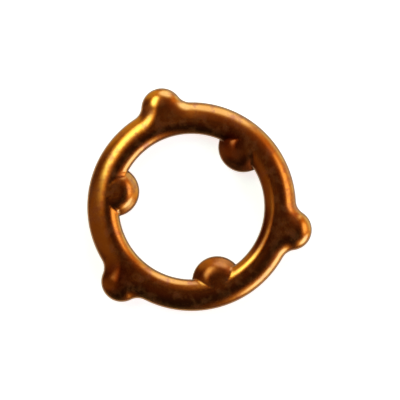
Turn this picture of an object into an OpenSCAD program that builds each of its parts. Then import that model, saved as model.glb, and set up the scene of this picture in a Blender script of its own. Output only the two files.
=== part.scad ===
/* [Ring] */
// Diameter of the outer edge, between the noses
ring_d = 18.7; // [18.4:0.1:19.5]
// Diameter of the hole, between the lobes
hole_d = 13; // [12:0.1:13.3]
// Thickness, from one sealing face to the other
thickness = 2.4; // [2.3:0.1:3.2]

/* [Edges] */
// Radius of the shoulder, the tight curve next to every wall
shoulder_r = 0.4; // [0.3:0.05:0.6]
// Half-width of the crown, the gentle ellipse between sealing face and shoulder, on ring, noses and lobes
crown_run = 2; // [1.2:0.1:2.1]
// Half-width of the crown along the hole
hole_crown_run = 1.25; // [0.7:0.05:1.35]
// Height of a crown's ellipse, as a share of its width
crown_squash = 0.75; // [0.65:0.05:1]
// Slope where a crown meets its shoulder, in degrees
crown_slope = 38; // [25:1:40]

/* [Noses] */
// Number of noses, and of lobes
nose_count = 3; // [2:1:4]
// Diameter of the circle through the tips of the noses
nose_tip_d = 22; // [21:0.1:23]
// Radius of a nose, seen from above
nose_r = 1.84; // [1.8:0.02:2.2]
// Radius of the hollow flank between a nose and the ring
flank_r = 1.35; // [0.6:0.05:1.8]

/* [Lobes] */
// Diameter of the circle through the tips of the lobes
lobe_tip_d = 9.6; // [9:0.1:10.4]
// Radius of a lobe, seen from above
lobe_r = 2.25; // [2:0.05:2.6]
// Angle from a nose to the lobe after it, in degrees
lobe_angle = 62; // [56:1:64]

/* [Hidden] */

// Facets round a circle seen from above and along an edge, and how far a cut runs past the metal
plan_fn = 48;
edge_fn = 20;
margin = 1;

// An edge reaches in from its wall as far as the sealing land, and its shoulder turns about this height
crown_end = atan(tan(crown_slope) / crown_squash);
function edge_depth(run) = run * sin(crown_end) + shoulder_r * (1 - sin(crown_slope));
function shoulder_z(run) = thickness - crown_squash * run * (1 - cos(crown_end)) - shoulder_r * cos(crown_slope);
outer_depth = edge_depth(crown_run);

// The sealing land is the flat band between the two edges
land_inner_r = hole_d / 2 + edge_depth(hole_crown_run);
land_outer_r = ring_d / 2 - outer_depth;
land_r = (land_inner_r + land_outer_r) / 2;

nose_x = nose_tip_d / 2 - nose_r;
lobe_x = lobe_tip_d / 2 + lobe_r;

// A flank's circle lies outside the metal and just cuts into the ring and the nose, by the bite
flank_bite = 0.02;
ring_to_flank = ring_d / 2 + flank_r - flank_bite;
nose_to_flank = nose_r + flank_r - flank_bite;
flank_turn = acos((nose_x ^ 2 + ring_to_flank ^ 2 - nose_to_flank ^ 2) / (2 * nose_x * ring_to_flank));
flank_at = ring_to_flank * [cos(flank_turn), sin(flank_turn)];

// Sections: the wall stands at x = 0 and the metal lies towards +x
module crown_and_shoulder(run) {
  translate([edge_depth(run), thickness]) scale([1, crown_squash]) translate([0, -run])
    intersection() {
      circle(run, $fn = 2 * edge_fn);
      polygon([[0, 0], [0, 2 * run], 2 * run * [-sin(crown_end), cos(crown_end)]]);
    }
  translate([shoulder_r, shoulder_z(run)]) circle(shoulder_r, $fn = edge_fn);
}

module edge(run, reach) {
  depth = edge_depth(run);
  wall_top = shoulder_z(run);
  crown_and_shoulder(run);
  translate([0, thickness]) mirror([0, 1]) crown_and_shoulder(run);
  translate([0, thickness - wall_top]) square([reach, 2 * wall_top - thickness]);
  translate([depth, 0]) square([reach - depth, thickness]);
}

// A button is a disc with the given section along its rim
module button(r) {
  rotate_extrude($fn = plan_fn)
    intersection() {
      translate([r, 0]) mirror([1, 0]) children();
      square([r + margin, thickness]);
    }
}

// The ring is turned from between a nose and a lobe
module ring() {
  rotate(lobe_angle / 2) rotate_extrude($fn = 2 * plan_fn) {
    translate([hole_d / 2, 0]) edge(hole_crown_run, land_outer_r - hole_d / 2);
    translate([ring_d / 2, 0]) mirror([1, 0]) edge(crown_run, ring_d / 2 - land_r);
  }
}

module nose() {
  translate([nose_x, 0, 0]) button(nose_r) edge(crown_run, nose_r + margin);
}

// The lobe stops under the sealing land, so that it never shows on the outer edge
module lobe() {
  intersection() {
    translate([lobe_x, 0, 0]) button(lobe_r) edge(crown_run, lobe_r + margin);
    cylinder(r = land_r, h = thickness, $fn = plan_fn);
  }
}

// A spool that leaves the outer edge's own section on the metal round it
module flank_spool() {
  rotate_extrude($fn = plan_fn)
    difference() {
      translate([0, -margin]) square([flank_r + outer_depth, thickness + 2 * margin]);
      translate([flank_r, 0]) edge(crown_run, outer_depth + margin);
    }
}

// The web between nose and ring runs from the land to both flank circles, which hollow it
module flanks() {
  foot = land_r * [cos(flank_turn), sin(flank_turn)];
  nose_land_r = nose_r - outer_depth;
  near_nose = [nose_x, 0] + (flank_at - [nose_x, 0]) * nose_land_r / 2 / nose_to_flank;
  half = [foot, flank_at, near_nose];
  other_half = [for (i = [2:-1:0]) [half[i].x, -half[i].y]];
  difference() {
    linear_extrude(thickness) polygon(concat([[land_r, 0]], half, other_half));
    for (side = [-1, 1]) translate([flank_at.x, side * flank_at.y, 0]) flank_spool();
  }
}

module seal_ring() {
  color([0.55, 0.27, 0.09]) {
    ring();
    for (i = [0:nose_count - 1])
      rotate(360 / nose_count * i) {
        nose();
        flanks();
        rotate(lobe_angle) lobe();
      }
  }
}

seal_ring();
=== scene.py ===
"""The looks of an injector seal ring: one polished copper ring on a pale floor."""
import math
from collections import namedtuple

import bpy
import numpy as np
from mathutils import Matrix, Vector, noise


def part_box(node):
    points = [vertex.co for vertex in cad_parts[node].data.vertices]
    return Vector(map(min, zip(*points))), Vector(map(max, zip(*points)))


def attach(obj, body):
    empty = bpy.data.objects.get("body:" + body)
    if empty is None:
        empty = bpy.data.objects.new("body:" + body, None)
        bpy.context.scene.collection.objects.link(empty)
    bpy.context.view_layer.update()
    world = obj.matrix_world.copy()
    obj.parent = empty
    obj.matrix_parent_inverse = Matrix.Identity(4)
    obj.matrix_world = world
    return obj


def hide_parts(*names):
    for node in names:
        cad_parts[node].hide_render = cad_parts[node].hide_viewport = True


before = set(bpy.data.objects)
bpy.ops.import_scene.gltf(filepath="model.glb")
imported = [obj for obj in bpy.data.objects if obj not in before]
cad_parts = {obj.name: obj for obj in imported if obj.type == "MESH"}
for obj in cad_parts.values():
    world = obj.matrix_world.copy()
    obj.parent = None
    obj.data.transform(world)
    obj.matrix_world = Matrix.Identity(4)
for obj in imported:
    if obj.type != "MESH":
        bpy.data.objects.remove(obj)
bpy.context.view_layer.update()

MM = 0.001
NODE = "seal_ring"

# Ring, seen from above, in metres
NOSE_COUNT = 3
RING_R = 9.35 * MM
HOLE_R = 6.5 * MM
NOSE_R = 1.84 * MM
NOSE_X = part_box(NODE)[1].x - NOSE_R
FLANK_R = 1.35 * MM
LOBE_R = 2.25 * MM
LOBE_X = 4.8 * MM + LOBE_R
LOBE_ANGLE = math.radians(62)

# A flank is a circle outside the metal that touches the ring and a nose
FLANK_X = RING_R + FLANK_R
NOSE_TO_FLANK = NOSE_R + FLANK_R
FLANK_TURN = math.acos((NOSE_X ** 2 + FLANK_X ** 2 - NOSE_TO_FLANK ** 2) / (2 * NOSE_X * FLANK_X))
FLANK_CENTRE = FLANK_X * np.array([math.cos(FLANK_TURN), math.sin(FLANK_TURN)])
NOSE_CENTRE = np.array([NOSE_X, 0])
TOUCH = NOSE_CENTRE + (FLANK_CENTRE - NOSE_CENTRE) * NOSE_R / NOSE_TO_FLANK
TOUCH_TURN = math.atan2(TOUCH[1], TOUCH[0])

# Section: a crown, part of an ellipse, falls off the sealing land; the shoulder turns it into the wall
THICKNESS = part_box(NODE)[1].z
SHOULDER_R = 0.4 * MM

# A crown's half-width, its height as a share of that, its steepest slope, and how far it keeps that slope
Edge = namedtuple("Edge", "run squash slope straight")
OUTER_EDGE = Edge(2.0 * MM, 0.75, math.radians(38), 0)
HOLE_EDGE = Edge(1.55 * MM, 1.0, math.radians(38), 0)
LOBE_EDGE = Edge(2.0 * MM, 1.0, math.radians(36), 0.3 * MM)

# Past its wall, an edge goes on falling this steeply
PAST_WALL = 10

# Lobe and hole edge meet in a soft valley, where the log of one's drop over the other's is less than this
VALLEY_WIDTH = 0.8
LEAST_DROP = 1e-9

# On the worn side the outer crown is this much wider, and so is the hole's, which is narrower opposite
WORN_SIDE = math.radians(186)
OUTER_WEAR = 0.13 * MM
HOLE_WEAR = 0.25 * MM

# Handling has left the faces a little uneven. Each takes its dents from another layer of the noise
DENT_DEPTH = 0.03 * MM
DENT_SIZE = 2.6 * MM
UPPER_DENTS = 1 * MM
LOWER_DENTS = 2 * MM

# Mesh: columns round the ring, shared out by each wall's way round and this many times its way in and out
COLUMNS = 900
STEEP_SHARE = 8
MEASURING_STEPS = 40 * COLUMNS

# Rows on each side of the land. Where a wall slants, those on its shoulder spread out, up to this many times
SHOULDER_ROWS = 6
CROWN_ROWS = 16
MOST_LEAN = 3

# How far to both sides of a point its normal is measured
NORMAL_STEP = 0.004 * MM

# The photograph looks straight down. The circle through the noses' tips is this wide in it
IMAGE_PIXELS = 400
TIP_CIRCLE_PX = 245.7
PIXEL = 2 * (NOSE_X + NOSE_R) / TIP_CIRCLE_PX
RING_CENTRE_PX = (191.6, 206.65)
PHOTO_TURN = math.radians(-13.07)
CAMERA_DISTANCE = 0.6
CAMERA_SENSOR = 36
CAMERA_CLIP = (0.01, 10)

BLACK = (0, 0, 0, 1)
WHITE = (1, 1, 1, 1)

# Copper: its polished colour by the clouds in it, its red spots, the brown of its steep parts, and the browns
# of painted shade
POLISHED = [
    (0.3, (0.78, 0.25, 0.045, 1)),
    (0.7, (0.9, 0.33, 0.07, 1)),
]
RED_SPOT = (0.5, 0.09, 0.05, 1)
# Painted shade: brown that dims the reflections where the metal is duller
DULL_SHADE_BROWN = (0.5, 0.11, 0.02, 1)
# Painted shade: the brown of the patches that dim reflections
SHADE_PATCH_BROWN = (0.27, 0.042, 0.012, 1)
STEEP_BROWN = (0.23, 0.13, 0.065, 1)

# Noise patterns, in waves per metre
Pattern = namedtuple("Pattern", "scale detail roughness")
CLOUDS = Pattern(300, 3, 0.55)
WAVES = Pattern(420, 2, 0.5)
MOTTLES = Pattern(1200, 2, 0.6)
GRAIN = Pattern(5200, 3, 0.6)

# How strongly each pattern bumps the surface, and how high
WAVE_BUMP = (0.35, 0.06 * MM)
MOTTLE_BUMP = (0.2, 0.01 * MM)
GRAIN_BUMP = (0.12, 0.003 * MM)

# Reddish spots where the mottles are strong
SPOT_FROM_TO = (0.48, 0.68)
SPOT_SHARE = 0.55
SPOT_METAL = 0.7

# The metal grows duller inwards to the hole, and along this direction, where painted shade also browns it to
# dim its reflections
DULL_AND_SHADED_SIDE = (math.cos(math.radians(3)), math.sin(math.radians(3)), 0)
DULL_AND_SHADED_ALONG = (-1 * MM, 3 * MM)
DULL_AND_SHADED_INWARDS = (7.4 * MM, 6.4 * MM)
DULL_SHADE_SHARE = 0.85
DULL_ROUGHNESS = 0.06

# Painted shade: brown patches that dim the reflections on two lobes, one nose and the hole's edge. Where each
# lies seen from above, how far it reaches, and how strong it is.
# A patch is at its full strength within this share of its reach
ShadePatch = namedtuple("ShadePatch", "x y reach strength")
SHADE_PATCHES = [
    ShadePatch(2.5 * MM, -5.8 * MM, 1.4 * MM, 0.65),
    ShadePatch(2.2 * MM, 6.5 * MM, 1.6 * MM, 0.95),
    ShadePatch(-5.2 * MM, -7.3 * MM, 1.9 * MM, 0.9),
    ShadePatch(6.7 * MM, 0.4 * MM, 1.6 * MM, 0.7),
    ShadePatch(6.5 * MM, -1.4 * MM, 1.8 * MM, 0.8),
]
SHADE_PATCH_MIDDLE = 0.3

# Steep parts, such as the walls, turn greyish brown: how level the metal is where the brown starts, and where
# it is full
STEEP_BROWN_FROM_TO = (0.78, 0.6)

# Roughness of the polish, by the grain
GRAIN_FROM_TO = (0.3, 0.7)
POLISH = (0.16, 0.2)

# Floor: half its width, its colour, and how white it looks by itself
FLOOR_REACH = 1.5
FLOOR_COLOUR = (0.9, 0.9, 0.9, 1)
FLOOR_WHITE = 0.8

# Soft lights of the studio, by the compass angle in the photograph and the angle from straight up,
# with their half-widths along and across the compass circle, all in degrees, and their light
Light = namedtuple("Light", "name compass zenith along across colour")
LIGHTS = [
    Light("key", 122, 37, 12, 14, (1.8, 3.4, 3.0)),
    Light("key low", 143, 29, 10, 14, (1.8, 3.8, 3.5)),
    Light("key end", 157, 17, 5, 7, (0.5, 0.4, 0.2)),
    Light("left", 190, 45, 25, 40, (0.16, 0.095, 0.02)),
    Light("behind key", 124, 75, 26, 28, (0.45, 0.45, 0.1)),
    Light("right", 8, 45, 23, 12, (1.3, 1.4, 1.1)),
    Light("right low", 14, 70, 42, 24, (0.52, 0.5, 0.28)),
    Light("upper right", 77, 57, 27, 20, (1.25, 2.0, 3.1)),
    Light("lower right", 321, 62, 25, 13, (1.4, 2.5, 4.6)),
    Light("lower right edge", 303, 55, 9, 15, (0.3, 0.25, 0.12)),
    Light("ceiling", 74, 22, 25, 16, (0.07, 0.025, 0.005)),
    Light("horizon at the right", 40, 78, 75, 14, (0.15, 0.6, 1.2)),
]

# A light turns warm and faint outwards from its middle, by the share of its half-width
WARM_EDGE = [
    (0.6, (1, 1, 1, 1)),
    (0.8, (0.5, 0.34, 0.1, 1)),
    (1.05, (0.18, 0.06, 0, 1)),
    (1.4, (0.035, 0.008, 0, 1)),
    (2.0, (0, 0, 0, 1)),
]

# The rest of the studio is dark, and grows paler from this angle from straight up to the horizon
DARK = (0.01, 0.008, 0.013, 1)
HORIZON = (0.1, 0.12, 0.15, 1)
HORIZON_START = math.radians(60)


def crown_width(edge):
    return edge.run * math.sin(math.atan(math.tan(edge.slope) / edge.squash))


def shoulder_width(edge):
    return SHOULDER_R * (1 - math.sin(edge.slope))


def edge_depth(edge):
    """How far an edge reaches in from its wall."""
    return crown_width(edge) + edge.straight + shoulder_width(edge)


def outer_edge(turn):
    worn = np.maximum(np.cos(turn - WORN_SIDE), 0) ** 4
    return OUTER_EDGE._replace(run=OUTER_EDGE.run + OUTER_WEAR * worn)


def hole_edge(turn):
    return HOLE_EDGE._replace(run=HOLE_EDGE.run + HOLE_WEAR * np.cos(turn - WORN_SIDE))


# The middle of the sealing land, between the hole's edge where it is widest and the outer edge
HOLE_LAND_R = HOLE_R + edge_depth(hole_edge(WORN_SIDE))
OUTER_LAND_R = RING_R - edge_depth(OUTER_EDGE)
LAND_R = (HOLE_LAND_R + OUTER_LAND_R) / 2


def from_nearest(turn, first):
    """The turn from the nearest of the noses or lobes, the first of which stands at the given turn."""
    pitch = math.tau / NOSE_COUNT
    return (turn - first + pitch / 2) % pitch - pitch / 2


def reach(turn, distance, radius, side):
    """How far a ray from the ring's axis runs to a circle's near (-1) or far (+1) side."""
    across = np.maximum(radius ** 2 - (distance * np.sin(turn)) ** 2, 0)
    return distance * np.cos(turn) + side * np.sqrt(across)


def outer_reach(turn):
    """The outer wall: ring, hollow flanks and noses, each tangent to the next."""
    turn = np.abs(from_nearest(turn, 0))
    flank = reach(turn - FLANK_TURN, FLANK_X, FLANK_R, -1)
    nose = reach(turn, NOSE_X, NOSE_R, 1)
    return np.where(turn > FLANK_TURN, RING_R, np.where(turn > TOUCH_TURN, flank, nose))


def inner_reach(turn):
    """The inner wall: the hole and the lobes that stand in from it."""
    turn = from_nearest(turn, LOBE_ANGLE)
    near_lobe = np.abs(turn) < math.asin(LOBE_R / LOBE_X)
    return np.minimum(HOLE_R, np.where(near_lobe, reach(turn, LOBE_X, LOBE_R, -1), HOLE_R))


def outer_inset(radius, turn):
    """How far a point lies in from the outer wall, square to the wall."""
    turn = np.abs(from_nearest(turn, 0))
    point = np.stack([radius * np.cos(turn), radius * np.sin(turn)], -1)
    to_flank = FLANK_CENTRE - NOSE_CENTRE
    to_point = point - NOSE_CENTRE
    nose_side = to_flank[0] * to_point[..., 1] < to_flank[1] * to_point[..., 0]
    from_flank = np.linalg.norm(point - FLANK_CENTRE, axis=-1) - FLANK_R
    from_nose = NOSE_R - np.linalg.norm(to_point, axis=-1)
    return np.where(turn > FLANK_TURN, RING_R - radius, np.where(nose_side, from_nose, from_flank))


def lobe_inset(radius, turn):
    """How far a point lies in from the wall of the nearest lobe."""
    turn = from_nearest(turn, LOBE_ANGLE)
    return LOBE_R - np.hypot(radius * np.cos(turn) - LOBE_X, radius * np.sin(turn))


def crown_drop(inset, edge):
    """How far the crown lies below the sealing face at this inset from a wall."""
    fallen = np.maximum(edge_depth(edge) - inset, 0)
    curved = np.minimum(fallen, crown_width(edge))
    arc_drop = edge.run - np.sqrt(edge.run ** 2 - curved ** 2)
    return edge.squash * arc_drop + (fallen - curved) * math.tan(edge.slope)


def edge_drop(inset, edge):
    """The same for the whole edge, with its shoulder."""
    middle = crown_drop(shoulder_width(edge), edge) + SHOULDER_R * math.cos(edge.slope)
    on_shoulder = np.clip(SHOULDER_R - inset, 0, SHOULDER_R)
    shoulder = middle - np.sqrt(SHOULDER_R ** 2 - on_shoulder ** 2)
    past_wall = np.maximum(-inset, 0) * PAST_WALL
    return np.where(inset < shoulder_width(edge), shoulder, crown_drop(inset, edge)) + past_wall


def least_drop(first, second):
    """The smaller of two drops, with a soft valley where they are nearly the same."""
    first = np.maximum(first, LEAST_DROP)
    second = np.maximum(second, LEAST_DROP)
    near = np.maximum(VALLEY_WIDTH - np.abs(np.log(first / second)), 0)
    return np.minimum(first, second) * np.exp(-near ** 2 / (4 * VALLEY_WIDTH))


def dents(radius, turn, layer):
    """How deep handling has worn each point of a face, by a layer of the noise for each face."""
    places = np.stack([radius * np.cos(turn), radius * np.sin(turn), np.full_like(radius, layer)], -1)
    worn = [noise.noise(Vector(place) / DENT_SIZE) for place in places.reshape(-1, 3)]
    return DENT_DEPTH * (0.5 + 0.5 * np.array(worn).reshape(radius.shape))


def face_height(radius, turn, layer):
    """How high a face lies above the middle of the other, worn by the dents of its layer."""
    outside = edge_drop(outer_inset(radius, turn), outer_edge(turn))
    hole = edge_drop(radius - HOLE_R, hole_edge(turn))
    lobe = edge_drop(lobe_inset(radius, turn), LOBE_EDGE)
    return THICKNESS - np.hypot(outside, least_drop(hole, lobe)) - dents(radius, turn, layer)


def face_normals(radius, turn, layer, up):
    """A face's true normals, upwards (1) or downwards (-1). Those of the narrow quads are rough."""
    swing = NORMAL_STEP / radius
    outwards = face_height(radius + NORMAL_STEP, turn, layer) - face_height(radius - NORMAL_STEP, turn, layer)
    around = face_height(radius, turn + swing, layer) - face_height(radius, turn - swing, layer)
    x = around * np.sin(turn) - outwards * np.cos(turn)
    y = -around * np.cos(turn) - outwards * np.sin(turn)
    normal = np.stack([x, y, np.full_like(x, 2 * up * NORMAL_STEP)], -1)
    return normal / np.linalg.norm(normal, axis=-1, keepdims=True)


def column_turns():
    """Where the columns stand: closest together where a wall runs nearly straight at the ring's axis."""
    turn = np.linspace(0, math.tau, MEASURING_STEPS + 1)
    steps = np.diff(turn) * RING_R
    for wall in (inner_reach(turn), outer_reach(turn)):
        steps = steps + np.abs(np.diff(wall)) * STEEP_SHARE
    along = np.concatenate([[0], np.cumsum(steps)])
    return np.interp(np.arange(COLUMNS) * along[-1] / COLUMNS, along, turn)


def rows_from(wall, turn, side):
    """Radii from a wall to the middle of the land, close together on the shoulder."""
    swing = (np.roll(turn, -1) - np.roll(turn, 1)) % math.tau
    spread = (np.roll(wall, -1) - np.roll(wall, 1)) / swing
    lean = np.minimum(np.hypot(1, spread / wall), MOST_LEAN)
    slopes = np.linspace(math.pi / 2, OUTER_EDGE.slope, SHOULDER_ROWS)
    shoulder = [wall + side * lean * SHOULDER_R * (1 - math.sin(slope)) for slope in slopes]
    shares = np.arange(1, CROWN_ROWS + 1) / CROWN_ROWS
    return shoulder + [shoulder[-1] + (LAND_R - shoulder[-1]) * share for share in shares]


def grid_faces(rows, columns):
    """Quads between the points of a grid that closes on itself both ways."""
    here = np.arange(rows * columns).reshape(rows, columns)
    ahead = np.roll(here, -1, axis=0)
    corners = [here, ahead, np.roll(ahead, -1, axis=1), np.roll(here, -1, axis=1)]
    return np.stack(corners, -1).reshape(-1, 4).tolist()


def ring_mesh():
    """A grid whose rows run across the upper face, down the outer wall, back below and up the hole."""
    turn = column_turns()
    inner = rows_from(inner_reach(turn), turn, 1)
    outer = rows_from(outer_reach(turn), turn, -1)
    radius = np.array(inner + outer[-2::-1])
    upper = face_height(radius, turn, UPPER_DENTS)
    lower = THICKNESS - face_height(radius, turn, LOWER_DENTS)
    loop = np.concatenate([radius, radius[::-1]])
    height = np.concatenate([upper, lower[::-1]])
    points = np.stack([loop * np.cos(turn), loop * np.sin(turn), height], -1)
    upper_normals = face_normals(radius, turn, UPPER_DENTS, 1)
    lower_normals = face_normals(radius, turn, LOWER_DENTS, -1)
    normals = np.concatenate([upper_normals, lower_normals[::-1]])
    mesh = bpy.data.meshes.new("polished_ring")
    mesh.from_pydata(points.reshape(-1, 3).tolist(), [], grid_faces(*loop.shape))
    mesh.shade_smooth()
    mesh.normals_split_custom_set_from_vertices(normals.reshape(-1, 3).tolist())
    return mesh


def add(name, data):
    thing = bpy.data.objects.new(name, data)
    bpy.context.scene.collection.objects.link(thing)
    return thing


class Nodes:
    """A short way to add nodes to a material or world, with their values and links."""

    def __init__(self, owner):
        owner.use_nodes = True
        self.tree = owner.node_tree
        self.tree.nodes.clear()

    def add(self, kind, inputs, **settings):
        node = self.tree.nodes.new(kind)
        for key, value in settings.items():
            setattr(node, key, value)
        for key, value in inputs.items():
            if isinstance(value, bpy.types.NodeSocket):
                self.tree.links.new(value, node.inputs[key])
            else:
                node.inputs[key].default_value = value
        return node

    def maths(self, operation, *values):
        return self.add("ShaderNodeMath", dict(enumerate(values)), operation=operation).outputs[0]

    def vector(self, operation, *values):
        """A vector, or the number that a length, distance or dot product gives."""
        node = self.add("ShaderNodeVectorMath", dict(enumerate(values)), operation=operation)
        return node.outputs["Vector" if operation == "MULTIPLY" else "Value"]

    def height(self, vector):
        return self.add("ShaderNodeSeparateXYZ", {"Vector": vector}).outputs["Z"]

    def noise(self, place, pattern):
        return self.add("ShaderNodeTexNoise", {
            "Vector": place,
            "Scale": pattern.scale,
            "Detail": pattern.detail,
            "Roughness": pattern.roughness,
        }).outputs["Fac"]

    def mix(self, share, first, second, blend="MIX"):
        inputs = {0: share, 6: first, 7: second}
        return self.add("ShaderNodeMix", inputs, data_type="RGBA", blend_type=blend).outputs[2]

    def ramp(self, factor, stops):
        node = self.add("ShaderNodeValToRGB", {"Fac": factor})
        while len(node.color_ramp.elements) < len(stops):
            node.color_ramp.elements.new(1)
        for element, (place, colour) in zip(node.color_ramp.elements, stops):
            element.position = place
            element.color = colour
        return node.outputs["Color"]

    def range(self, value, start_end, to=(0, 1)):
        """Where a value lies from start to end, taken over to another range and held within it."""
        return self.add("ShaderNodeMapRange", {
            "Value": value,
            "From Min": start_end[0],
            "From Max": start_end[1],
            "To Min": to[0],
            "To Max": to[1],
        }).outputs["Result"]

    def bump(self, height, bump, **below):
        strength, distance = bump
        inputs = {"Height": height, "Strength": strength, "Distance": distance, **below}
        return self.add("ShaderNodeBump", inputs).outputs["Normal"]


# Duller polish inwards and to one side, whose share also browns the colour as painted shade
def dullness_and_shade(nodes, place, from_above):
    along = nodes.range(nodes.vector("DOT_PRODUCT", place, DULL_AND_SHADED_SIDE), DULL_AND_SHADED_ALONG)
    inwards = nodes.range(nodes.vector("LENGTH", from_above), DULL_AND_SHADED_INWARDS)
    return nodes.maths("MULTIPLY", inwards, along)


def with_shade_patches(nodes, colour, from_above):
    """The colour with every patch of painted shade on it."""
    for patch in SHADE_PATCHES:
        away = nodes.vector("DISTANCE", from_above, (patch.x, patch.y, 0))
        share = nodes.range(away, (patch.reach, SHADE_PATCH_MIDDLE * patch.reach), (0, patch.strength))
        colour = nodes.mix(share, colour, SHADE_PATCH_BROWN)
    return colour


def copper_material():
    material = bpy.data.materials.new("polished_copper")
    nodes = Nodes(material)
    coordinates = nodes.add("ShaderNodeTexCoord", {}).outputs
    place = coordinates["Object"]
    from_above = nodes.vector("MULTIPLY", place, (1, 1, 0))
    mottles = nodes.noise(place, MOTTLES)
    grain = nodes.noise(place, GRAIN)

    spots = nodes.range(mottles, SPOT_FROM_TO, (0, SPOT_SHARE))
    dull_and_shade = dullness_and_shade(nodes, place, from_above)
    level = nodes.maths("ABSOLUTE", nodes.height(coordinates["Normal"]))
    colour = nodes.ramp(nodes.noise(place, CLOUDS), POLISHED)
    colour = nodes.mix(spots, colour, RED_SPOT)
    # Painted shade: brown that dims reflections where the metal is duller
    colour = nodes.mix(nodes.range(dull_and_shade, (0, 1), (0, DULL_SHADE_SHARE)), colour, DULL_SHADE_BROWN)
    # Painted shade: brown patches dim the reflections on two lobes, one nose and the hole's edge
    colour = with_shade_patches(nodes, colour, from_above)
    colour = nodes.mix(nodes.range(level, STEEP_BROWN_FROM_TO), colour, STEEP_BROWN)

    polish = nodes.range(grain, GRAIN_FROM_TO, POLISH)
    swell = nodes.bump(nodes.noise(place, WAVES), WAVE_BUMP)
    pits = nodes.bump(mottles, MOTTLE_BUMP, Normal=swell)
    shader = nodes.add("ShaderNodeBsdfPrincipled", {
        "Base Color": colour,
        "Metallic": nodes.range(spots, (0, 1), (1, SPOT_METAL)),
        "Roughness": nodes.maths("MULTIPLY_ADD", dull_and_shade, DULL_ROUGHNESS, polish),
        "Normal": nodes.bump(grain, GRAIN_BUMP, Normal=pits),
    })
    nodes.add("ShaderNodeOutputMaterial", {"Surface": shader.outputs["BSDF"]})
    return material


def polished_ring():
    ring = add("polished_ring", ring_mesh())
    ring.data.materials.append(copper_material())
    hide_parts(NODE)
    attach(ring, "root")


def floor_material():
    """Takes shadows, and looks white to the camera and in the ring."""
    material = bpy.data.materials.new("pale_floor")
    nodes = Nodes(material)
    rays = nodes.add("ShaderNodeLightPath", {}).outputs
    seen = nodes.maths("MAXIMUM", rays["Is Camera Ray"], rays["Is Glossy Ray"])
    seen = nodes.maths("MAXIMUM", seen, rays["Is Transmission Ray"])
    glow = nodes.maths("MULTIPLY", seen, FLOOR_WHITE)
    plain = nodes.add("ShaderNodeBsdfDiffuse", {"Color": FLOOR_COLOUR})
    white = nodes.add("ShaderNodeEmission", {"Color": WHITE, "Strength": glow})
    both = nodes.add("ShaderNodeAddShader", {0: plain.outputs[0], 1: white.outputs[0]})
    nodes.add("ShaderNodeOutputMaterial", {"Surface": both.outputs[0]})
    return material


def floor():
    sides = [(-1, -1), (1, -1), (1, 1), (-1, 1)]
    mesh = bpy.data.meshes.new("floor")
    mesh.from_pydata([(x * FLOOR_REACH, y * FLOOR_REACH, 0) for x, y in sides], [], [(0, 1, 2, 3)])
    ground = add("floor", mesh)
    mesh.materials.append(floor_material())


def glow_of(nodes, direction, light):
    """What a light sends from a direction, by how far that lies from the light's middle."""
    swing = Matrix.Rotation(PHOTO_TURN - math.radians(light.compass), 3, "Z")
    tilt = Matrix.Rotation(-math.radians(light.zenith), 3, "Y")
    mapping = {"Vector": direction, "Rotation": (tilt @ swing).to_euler()}
    local = nodes.add("ShaderNodeMapping", mapping, vector_type="POINT", label=light.name).outputs[0]
    scale = (1 / math.sin(math.radians(light.across)), 1 / math.sin(math.radians(light.along)), 0)
    away = nodes.vector("LENGTH", nodes.vector("MULTIPLY", local, scale))
    widest = WARM_EDGE[-1][0]
    stops = [(place / widest, colour) for place, colour in WARM_EDGE]
    fading = nodes.ramp(nodes.range(away, (0, widest)), stops)
    glow = nodes.mix(1, fading, (*light.colour, 1), "MULTIPLY")
    return nodes.mix(nodes.maths("GREATER_THAN", nodes.height(local), 0), BLACK, glow)


def studio():
    """Lights the ring from all round, and is white to the camera."""
    world = bpy.data.worlds.new("studio")
    bpy.context.scene.world = world
    nodes = Nodes(world)
    direction = nodes.add("ShaderNodeTexCoord", {}).outputs["Generated"]
    low = nodes.range(nodes.height(direction), (math.cos(HORIZON_START), 0))
    total = nodes.mix(low, DARK, HORIZON)
    for light in LIGHTS:
        total = nodes.mix(1, total, glow_of(nodes, direction, light), "ADD")
    rays = nodes.add("ShaderNodeLightPath", {}).outputs
    total = nodes.mix(rays["Is Camera Ray"], total, WHITE)
    background = nodes.add("ShaderNodeBackground", {"Color": total, "Strength": 1.0})
    nodes.add("ShaderNodeOutputWorld", {"Surface": background.outputs[0]})


def camera():
    """Looks straight down, with the photograph's turn and width and its place of the ring."""
    right = Vector((math.cos(-PHOTO_TURN), math.sin(-PHOTO_TURN), 0))
    up = Vector((-right.y, right.x, 0))
    middle = IMAGE_PIXELS / 2
    off_right = (middle - RING_CENTRE_PX[0]) * PIXEL
    off_up = (RING_CENTRE_PX[1] - middle) * PIXEL
    eye = right * off_right + up * off_up + Vector((0, 0, CAMERA_DISTANCE))
    data = bpy.data.cameras.new("camera")
    data.sensor_width = CAMERA_SENSOR
    data.sensor_height = CAMERA_SENSOR
    data.lens = CAMERA_SENSOR * (CAMERA_DISTANCE - THICKNESS / 2) / (IMAGE_PIXELS * PIXEL)
    data.clip_start, data.clip_end = CAMERA_CLIP
    view = add("camera", data)
    turned = Matrix((right, up, Vector((0, 0, 1)))).transposed().to_4x4()
    view.matrix_world = Matrix.Translation(eye) @ turned
    bpy.context.scene.camera = view


bpy.context.scene.view_settings.view_transform = "Standard"
polished_ring()
floor()
studio()
camera()
